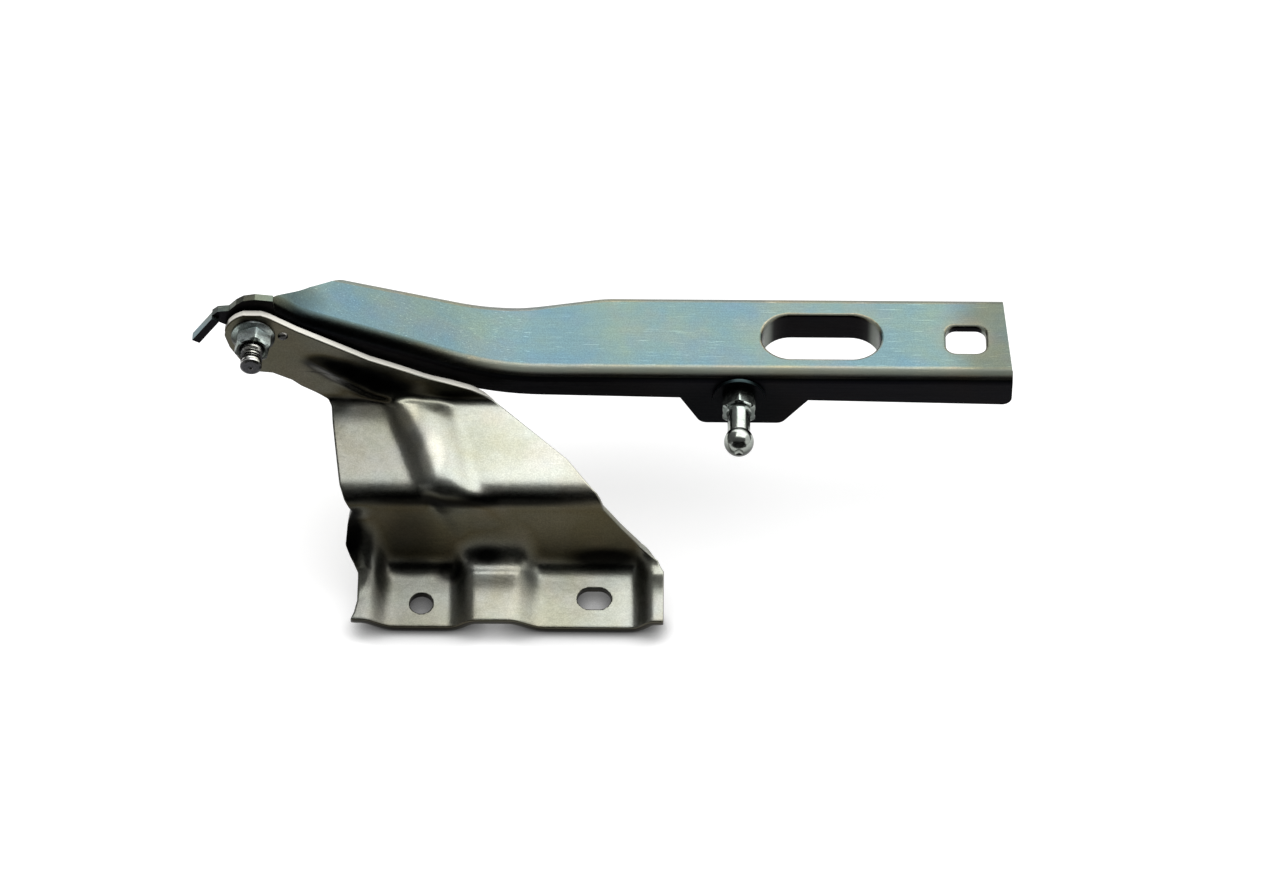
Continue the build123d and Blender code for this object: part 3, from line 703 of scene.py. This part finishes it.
def sheetMesh(name, front, values):
    # front and back faces joined by a rim with softly rounded corners
    thick, r, wrap = values["sheet"], values["rimRound"], 20
    normal = gridNormals(front)
    for _ in range(values["normalPasses"]):
        normal[1:-1, 1:-1] = (normal[:-2, 1:-1] + normal[2:, 1:-1] + normal[1:-1, :-2] + normal[1:-1, 2:]
                              + 2 * normal[1:-1, 1:-1]) / 6
        normal /= np.linalg.norm(normal, axis=2)[..., None]
    back = front - normal * thick
    rowCount, columnCount = front.shape[:2]
    index = np.arange(rowCount * columnCount).reshape(rowCount, columnCount)
    ring = ringOf(index)
    flatFront = front.reshape(-1, 3).copy()
    flatBack = back.reshape(-1, 3).copy()
    flatNormal = normal.reshape(-1, 3)
    edge = flatFront[ring]
    tangent = np.roll(edge, -1, 0) - np.roll(edge, 1, 0)
    # the ring is closed, so some points past each end go into the blur
    tangent = np.concatenate([tangent[-wrap:], tangent, tangent[:wrap]])
    tangent = softened(tangent, values["rimSoftness"], 0, 1.0)[wrap:-wrap]
    away = np.cross(tangent, flatNormal[ring])
    away /= np.linalg.norm(away, axis=1)[:, None]
    centre = edge.mean(0)
    if np.einsum("ij,ij->i", away, edge - centre).sum() < 0:
        away = -away
    rings = []
    cornerOut, cornerDepth = (share * r for share in values["rimCorner"])
    for out, depth in ((cornerOut, cornerDepth), (r, r), (r, thick - r), (cornerOut, thick - cornerDepth)):
        rings.append(edge + away * out - flatNormal[ring] * depth)
    count = rowCount * columnCount
    ringCount = len(ring)
    points = np.concatenate([flatFront, flatBack] + rings)
    corner = index[:-1, :-1].ravel(), index[1:, :-1].ravel(), index[1:, 1:].ravel(), index[:-1, 1:].ravel()
    faces = [np.stack(corner, axis=1), np.stack(corner[::-1], axis=1) + count]
    rimLoops = [2 * count + k * ringCount + np.arange(ringCount) for k in range(len(rings))]
    loops = [ring] + rimLoops + [ring + count]
    for upper, lower in zip(loops[:-1], loops[1:]):
        faces.append(np.stack([np.roll(upper, -1), upper, lower, np.roll(lower, -1)][::-1], axis=1))
    faces = np.concatenate(faces)
    mesh = bpy.data.meshes.new(name)
    scaled = (points + np.array(pivotInFrame)) * millimetre
    mesh.from_pydata(scaled.tolist(), [], faces.tolist())
    mesh.update()
    return mesh


def newObject(name, mesh, material):
    mesh.materials.append(material)
    mesh.polygons.foreach_set("use_smooth", [True] * len(mesh.polygons))
    thing = bpy.data.objects.new(name, mesh)
    bpy.context.scene.collection.objects.link(thing)
    return thing


def plainMesh(thing):
    # the object with its modifiers worked in
    bpy.context.view_layer.update()
    shape = bpy.data.meshes.new_from_object(thing.evaluated_get(bpy.context.evaluated_depsgraph_get()))
    thing.modifiers.clear()
    thing.data = shape
    return thing


def cutter(name, outline, centre, xAxis, yAxis, reach, flare):
    # a closed prism through the sheet, a little wider at both mouths
    across = xAxis.cross(yAxis)
    levels = [(-reach, flare), (-reach + flare, 0.0), (reach - flare, 0.0), (reach, flare)]
    points, faces, count = [], [], len(outline)
    for level, grow in levels:
        for x, y in outline:
            size = (x * x + y * y) ** 0.5
            stretch = (size + grow) / size
            points.append(centre + xAxis * (x * stretch) + yAxis * (y * stretch) + across * level)
    faces.append(list(range(count))[::-1])
    for k in range(len(levels) - 1):
        for i in range(count):
            j = (i + 1) % count
            faces.append([k * count + i, k * count + j, (k + 1) * count + j, (k + 1) * count + i])
    faces.append([(len(levels) - 1) * count + i for i in range(count)])
    mesh = bpy.data.meshes.new(name)
    mesh.from_pydata([fromPivot(*p) for p in points], [], faces)
    tool = bpy.data.objects.new(name, mesh)
    bpy.context.scene.collection.objects.link(tool)
    return tool


def roundOutline(width, depth, sides=48):
    # a circle, or a slot with round ends along x
    straight = (width - depth) / 2
    outline = []
    for k in range(sides):
        angle = 2 * pi * k / sides
        shift = straight if cos(angle) >= 0 else -straight
        outline.append((depth / 2 * cos(angle) + shift, depth / 2 * sin(angle)))
    return outline


def cutHoles(thing, tools):
    for tool in tools:
        cut = thing.modifiers.new(tool.name, "BOOLEAN")
        cut.operation = "DIFFERENCE"
        cut.solver = "EXACT"
        cut.object = tool
    plainMesh(thing)
    for tool in tools:
        bpy.data.objects.remove(tool)


def makeBracket(values):
    thick, flare = values["sheet"], values["holeFlare"]
    mesh = sheetMesh("bracketSheet", bracketSheet(values), values)
    thing = newObject("bracketSheet", mesh, zinc["bracketZinc"])
    tilt = radians(values["footTilt"])
    outward, up = Vector((0, -cos(tilt), -sin(tilt))), Vector((0, -sin(tilt), cos(tilt)))
    foot = Vector((0, *values["sideView"][-1]))
    tools = []
    for label, size, (x, out) in values["holes"]:
        centre = foot + axisX * x + outward * out - up * (thick / 2)
        tools.append(cutter(label, roundOutline(*size), centre, axisX, -outward, (thick + flare) / 2, flare))
    bolt = values["boltHole"]
    outline = roundOutline(bolt["size"], bolt["size"])
    tools.append(cutter("boltHole", outline, axisY * (thick / 2), axisX, axisZ, bolt["reach"], bolt["flare"]))
    cutHoles(thing, tools)
    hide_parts("body_bracket")
    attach(thing, "bracket")


makeBracket(bracketValues)
print("bracket pressed")


# Turned pieces: each row is (place along the axis, radius, across flats or 0)
sharpAngle = 32.0  # edges sharper than this many degrees stay crisp
boltValues = {
    "rows": [(-15.0, 0.0, 0), (-16.2, 1.0, 0), (-16.2, 3.1, 0), (-15.6, 3.9, 0), (-14.9, 3.95, 0),
             (-14.5, 3.45, 0), (2.9, 3.45, 0), (2.9, 6.0, 0), (7.3, 6.0, 0), (7.3, 9.2, 0), (7.5, 9.5, 0),
             (9.9, 9.5, 0), (10.8, 9.0, 0), (11.3, 8.2, 0), (11.3, 3.6, 6.0), (8.8, 3.6, 6.0), (8.8, 0.0, 0)],
    "sides": 72,
    # radius of the crest and of the ridge's own section, steps per turn, sides of the section
    "thread": {"pitch": 1.25, "crest": 4.0, "ridge": 0.4464, "start": -14.4, "end": -1.5,
               "turnSteps": 36, "ridgeSides": 3},
}
nutValues = {
    "rows": [(0.0, 4.1, 0), (0.0, 7.8, 0), (-0.25, 8.0, 0), (-0.9, 7.95, 0), (-1.6, 7.1, 0),
             (-1.9, 6.95, 12.0), (-6.4, 6.95, 12.0), (-6.9, 6.7, 12.0), (-7.5, 5.7, 12.0), (-7.5, 4.9, 0),
             (-6.8, 4.1, 0)],
    "sides": 96, "turn": 12.0, "closed": True,
}
rivetValues = {
    "place": (10.8, 0.0), "sides": 48,
    "rows": [(-1.1, 0.0, 0), (-1.06, 0.5, 0), (-0.92, 1.0, 0), (-0.68, 1.45, 0), (-0.35, 1.75, 0),
             (0.0, 1.9, 0), (0.02, 1.5, 0), (3.0, 1.5, 0), (3.0, 0.0, 0)],
}
studValues = {
    "place": (177.0, -34.5),
    # ball and neck: radius, place along the axis
    "ball": (5.5, -18.5), "neck": (4.2, -14.2), "sides": 96,
    # the ball's outline: steps, angle of the flat at its tip, angle of the neck, depth of the dimple
    "arcSteps": 24, "tipAngle": 0.30, "neckAngle": pi - 0.86, "dimple": 1.2,
    "rows": [(-5.2, 4.2, 0), (-4.5, 4.35, 0), (-4.1, 4.7, 0), (-4.1, 5.8, 12.0), (-3.6, 6.75, 12.0),
             (-3.2, 6.95, 12.0), (2.3, 6.95, 12.0), (2.5, 6.8, 12.0), (2.5, 4.0, 0), (7.0, 4.0, 0),
             (7.0, 5.8, 0), (7.2, 6.0, 0), (8.1, 5.9, 0), (9.0, 4.9, 0), (9.4, 3.4, 0), (9.4, 0.0, 0)],
}


def turnedMesh(name, rows, sides, place=(0.0, 0.0), turn=0.0, closed=False):
    # a closed section joins its last row to the first; a hexagon's flats hold the radius in
    angles = [2 * pi * k / sides for k in range(sides)]
    points, faces = [], []
    for along, radius, flats in rows:
        for angle in angles:
            reach = radius
            if flats:
                inFlat = (angle % (pi / 3)) - pi / 6
                reach = min(radius, flats / 2 / cos(inFlat))
            spin = angle + radians(turn)
            points.append(fromPivot(place[0] + reach * sin(spin), along, place[1] + reach * cos(spin)))
    last = len(rows) if closed else len(rows) - 1
    for k in range(last):
        upper, lower = k * sides, ((k + 1) % len(rows)) * sides
        for i in range(sides):
            j = (i + 1) % sides
            faces.append([upper + i, lower + i, lower + j, upper + j])
    mesh = bpy.data.meshes.new(name)
    mesh.from_pydata(points, [], faces)
    shape = bmesh.new()
    shape.from_mesh(mesh)
    bmesh.ops.remove_doubles(shape, verts=shape.verts, dist=1e-7)
    bmesh.ops.recalc_face_normals(shape, faces=shape.faces)
    shape.to_mesh(mesh)
    shape.free()
    return mesh


def finished(thing, body, slotName, *replaced):
    thing.data.set_sharp_from_angle(angle=radians(sharpAngle))
    if replaced:
        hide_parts(*replaced)
    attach(thing, body)


def threadTree(values, material):
    # a ridge that winds along the axis, from named sizes
    tree = bpy.data.node_groups.new("threadRidge", "GeometryNodeTree")
    for label in ("Pitch", "Turns", "Radius", "Depth"):
        tree.interface.new_socket(label, in_out="INPUT", socket_type="NodeSocketFloat")
    tree.interface.new_socket("Start", in_out="INPUT", socket_type="NodeSocketVector")
    tree.interface.new_socket("Geometry", in_out="OUTPUT", socket_type="NodeSocketGeometry")
    add, join = tree.nodes.new, tree.links.new
    inputs, output = add("NodeGroupInput"), add("NodeGroupOutput")
    spiral, profile = add("GeometryNodeCurveSpiral"), add("GeometryNodeCurvePrimitiveCircle")
    sweep = add("GeometryNodeCurveToMesh")
    spiral.inputs["Resolution"].default_value = values["turnSteps"]
    profile.inputs["Resolution"].default_value = values["ridgeSides"]
    height, turned = add("ShaderNodeMath"), add("GeometryNodeTransform")
    height.operation = "MULTIPLY"
    join(inputs.outputs["Pitch"], height.inputs[0])
    join(inputs.outputs["Turns"], height.inputs[1])
    join(inputs.outputs["Turns"], spiral.inputs["Rotations"])
    join(inputs.outputs["Radius"], spiral.inputs["Start Radius"])
    join(inputs.outputs["Radius"], spiral.inputs["End Radius"])
    join(height.outputs[0], spiral.inputs["Height"])
    join(inputs.outputs["Depth"], profile.inputs["Radius"])
    join(spiral.outputs[0], sweep.inputs["Curve"])
    join(profile.outputs[0], sweep.inputs["Profile Curve"])
    sweep.inputs["Fill Caps"].default_value = True
    turned.inputs["Rotation"].default_value = (radians(-90), 0, 0)
    join(sweep.outputs[0], turned.inputs["Geometry"])
    join(inputs.outputs["Start"], turned.inputs["Translation"])
    real, paint = add("GeometryNodeRealizeInstances"), add("GeometryNodeSetMaterial")
    paint.inputs["Material"].default_value = material
    join(turned.outputs[0], real.inputs[0])
    join(real.outputs[0], paint.inputs["Geometry"])
    join(paint.outputs[0], output.inputs[0])
    return tree


def treeMesh(name, tree, sizes):
    # the tree's result as a plain mesh object
    thing = bpy.data.objects.new(name, bpy.data.meshes.new(name))
    bpy.context.scene.collection.objects.link(thing)
    modifier = thing.modifiers.new("shape", "NODES")
    modifier.node_group = tree
    sockets = {s.name: s.identifier for s in tree.interface.items_tree if s.in_out == "INPUT"}
    for label, size in sizes.items():
        modifier[sockets[label]] = size
    return plainMesh(thing)


def turnedPiece(name, values, finish, body, slotName, replaced):
    options = {key: values[key] for key in ("place", "turn", "closed") if key in values}
    mesh = turnedMesh(name, values["rows"], values["sides"], **options)
    finished(newObject(name, mesh, zinc[finish]), body, slotName, replaced)


def makeThread(values):
    ridge = treeMesh("boltThread", threadTree(values, zinc["boltZinc"]), {
        "Pitch": values["pitch"] * millimetre,
        "Turns": (values["end"] - values["start"]) / values["pitch"],
        "Radius": (values["crest"] - values["ridge"]) * millimetre,
        "Depth": values["ridge"] * millimetre,
        "Start": tuple(fromPivot(0, values["start"], 0)),
    })
    finished(ridge, "bracket", "bolt_zinc")


def studRows(values):
    # dimple, ball and neck before the hexagon, washer side and tail
    radius, centre = values["ball"]
    neckRadius, neckStart = values["neck"]
    steps, first, last = values["arcSteps"], values["tipAngle"], values["neckAngle"]
    angles = [first + (last - first) * k / steps for k in range(steps + 1)]
    arc = [(centre - radius * cos(angle), radius * sin(angle), 0) for angle in angles]
    return [(arc[0][0] + values["dimple"], 0.0, 0)] + arc + [(neckStart, neckRadius, 0)] + values["rows"]


turnedPiece("boltCore", boltValues, "boltZinc", "bracket", "bolt_zinc", "pivot_bolt")
makeThread(boltValues["thread"])
turnedPiece("flangeNut", nutValues, "nutZinc", "bracket", "nut_zinc", "pivot_nut")
turnedPiece("rivetDome", rivetValues, "boltZinc", "bracket", "bolt_zinc", "plate_rivet")
wholeStud = {**studValues, "rows": studRows(studValues)}
turnedPiece("ballStud", wholeStud, "studZinc", "arm", "stud_zinc", "ball_stud")
print("fasteners turned")

bpy.context.scene.view_settings.view_transform = "Standard"
